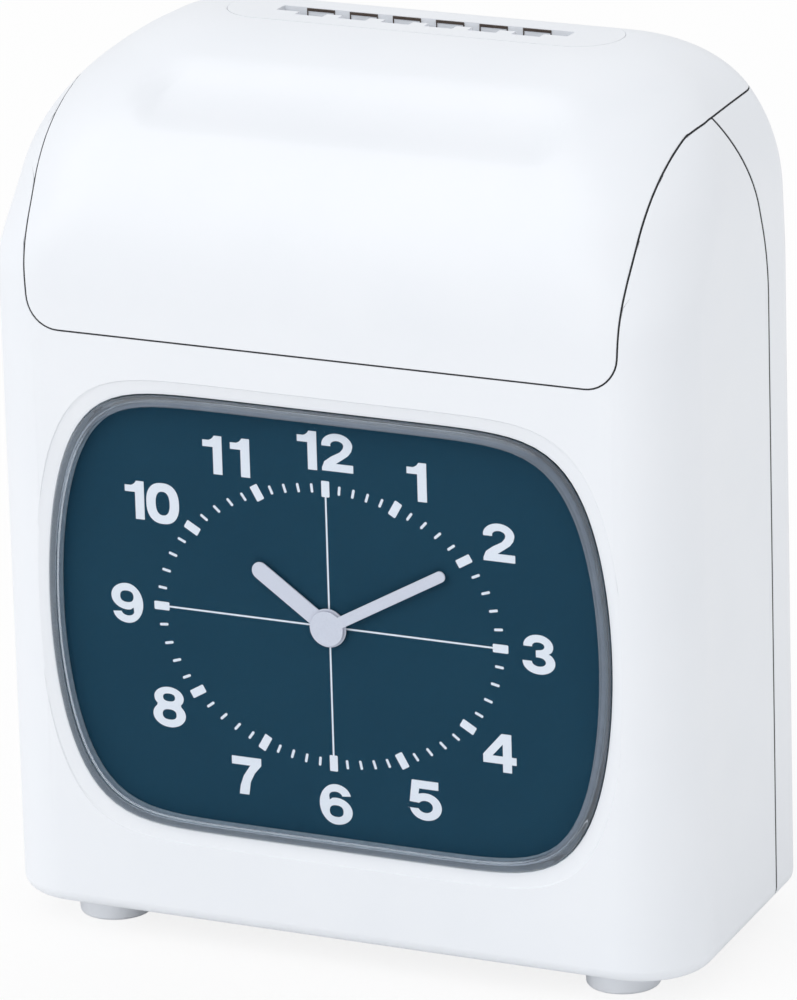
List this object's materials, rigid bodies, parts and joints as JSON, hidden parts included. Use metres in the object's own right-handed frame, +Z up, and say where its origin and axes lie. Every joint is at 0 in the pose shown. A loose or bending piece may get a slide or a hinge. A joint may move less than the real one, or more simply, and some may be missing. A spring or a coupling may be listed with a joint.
{
  "type": "time clock",
  "caption": "Upright white time recorder with an analogue clock dial behind a rounded window, a hinged hood and a card slot in its crest.",
  "frame": {"origin": "middle of the box's underside, on the table under the feet", "axes": "+Z up, +Y from the dial to the back, +X to the right as one faces the dial"},
  "size_m": [0.2092, 0.098, 0.2515],
  "materials": {
    "white_abs": "moulded satin",
    "clear_acrylic": "clear",
    "dial_paint": "matt print",
    "hand_paint": "painted",
    "brass": "turned",
    "steel": "zinc plated",
    "dark_plastic": "moulded",
    "platen_rubber": "ground",
    "circuit_board": "lacquered",
    "transformer_iron": "varnished"
  },
  "bodies": {
    "casing": {"front_case": "white_abs", "rear_case": "white_abs", "feet": "white_abs", "window_lens": "clear_acrylic", "dial_plate": "dial_paint", "movement_front_plate": "brass", "movement_back_plate": "brass", "case_hinge_leaf": "steel", "hinge_pin": "steel", "clock_motor": "steel", "chassis": "steel", "chute_front": "steel", "printer_frame": "steel", "carriage_rod": "steel", "carriage_motor": "steel", "stop_guide_rod": "steel", "stop_motor": "steel", "wall_plate": "steel", "lock_barrel": "steel", "case_screws": "steel", "ribbon_cassette": "dark_plastic", "switch_panel": "dark_plastic", "cord_gland": "dark_plastic", "platen": "platen_rubber", "control_board": "circuit_board", "transformer": "transformer_iron"},
    "cover": {"top_cover": "white_abs", "slot_guide": "white_abs", "cover_hinge_leaf": "steel"},
    "minute": {"minute_hand": "hand_paint", "minute_arbor": "brass"},
    "hour": {"hour_hand": "hand_paint", "hour_wheel": "brass"},
    "idler": {"minute_wheel": "brass"},
    "motor_rotor": {"motor_pinion": "brass"},
    "carriage": {"print_carriage": "dark_plastic", "print_head": "dark_plastic"},
    "spiral": {"spiral_shaft": "steel"},
    "ribbon_drive": {"ribbon_knob": "white_abs"},
    "stop": {"card_stop": "dark_plastic"},
    "stop_drive": {"stop_screw": "steel"},
    "lock": {"lock_plug": "brass"},
    "button_left": {"set_button_left": "white_abs"},
    "button_middle": {"set_button_middle": "white_abs"},
    "button_right": {"set_button_right": "white_abs"}
  },
  "joints": [
    {"name": "cover_hinge", "type": "hinge", "parent": "casing", "child": "cover", "pos_m": [0, 0.0465, 0.2362], "axis": [-1, 0, 0], "range_deg": [0, 75]},
    {"name": "minute_turn", "type": "hinge", "parent": "casing", "child": "minute", "pos_m": [0, -0.038, 0.0985], "axis": [0, 1, 0], "continuous": true},
    {"name": "hour_turn", "type": "hinge", "parent": "casing", "child": "hour", "pos_m": [0, -0.038, 0.0985], "axis": [0, 1, 0], "continuous": true},
    {"name": "idler_turn", "type": "hinge", "parent": "casing", "child": "idler", "pos_m": [0, -0.038, 0.0865], "axis": [0, 1, 0], "continuous": true},
    {"name": "motor_turn", "type": "hinge", "parent": "casing", "child": "motor_rotor", "pos_m": [0.011, -0.03, 0.0985], "axis": [0, 1, 0], "continuous": true},
    {"name": "carriage_slide", "type": "slide", "parent": "casing", "child": "carriage", "axis": [1, 0, 0], "range_m": [-0.034, 0.034]},
    {"name": "spiral_turn", "type": "hinge", "parent": "casing", "child": "spiral", "pos_m": [0, 0.008, 0.196], "axis": [1, 0, 0], "range_deg": [-620, 620]},
    {"name": "ribbon_knob_turn", "type": "hinge", "parent": "casing", "child": "ribbon_drive", "pos_m": [-0.038, -0.002, 0.2345], "axis": [0, 0, 1], "continuous": true},
    {"name": "card_stop_slide", "type": "slide", "parent": "casing", "child": "stop", "axis": [0, 0, 1], "range_m": [0, 0.09]},
    {"name": "stop_screw_turn", "type": "hinge", "parent": "casing", "child": "stop_drive", "pos_m": [0.012, 0.014, 0.1], "axis": [0, 0, 1], "range_deg": [-10, 2710]},
    {"name": "lock_turn", "type": "hinge", "parent": "casing", "child": "lock", "pos_m": [-0.095, -0.01, 0.2025], "axis": [1, 0, 0], "range_deg": [0, 90]},
    {"name": "left_button_press", "type": "slide", "parent": "casing", "child": "button_left", "axis": [0, 0, -1], "range_m": [0, 0.0012], "stiffness_N_per_m": 300},
    {"name": "middle_button_press", "type": "slide", "parent": "casing", "child": "button_middle", "axis": [0, 0, -1], "range_m": [0, 0.0012], "stiffness_N_per_m": 300},
    {"name": "right_button_press", "type": "slide", "parent": "casing", "child": "button_right", "axis": [0, 0, -1], "range_m": [0, 0.0012], "stiffness_N_per_m": 300}
  ],
  "couplings": [
    {"joint": "hour_turn", "follows": "minute_turn", "ratio": 0.083333},
    {"joint": "idler_turn", "follows": "minute_turn", "ratio": -0.33333},
    {"joint": "motor_turn", "follows": "minute_turn", "ratio": -6},
    {"joint": "spiral_turn", "follows": "carriage_slide", "rad_per_m": 314.16},
    {"joint": "stop_screw_turn", "follows": "card_stop_slide", "rad_per_m": 523.6}
  ]
}
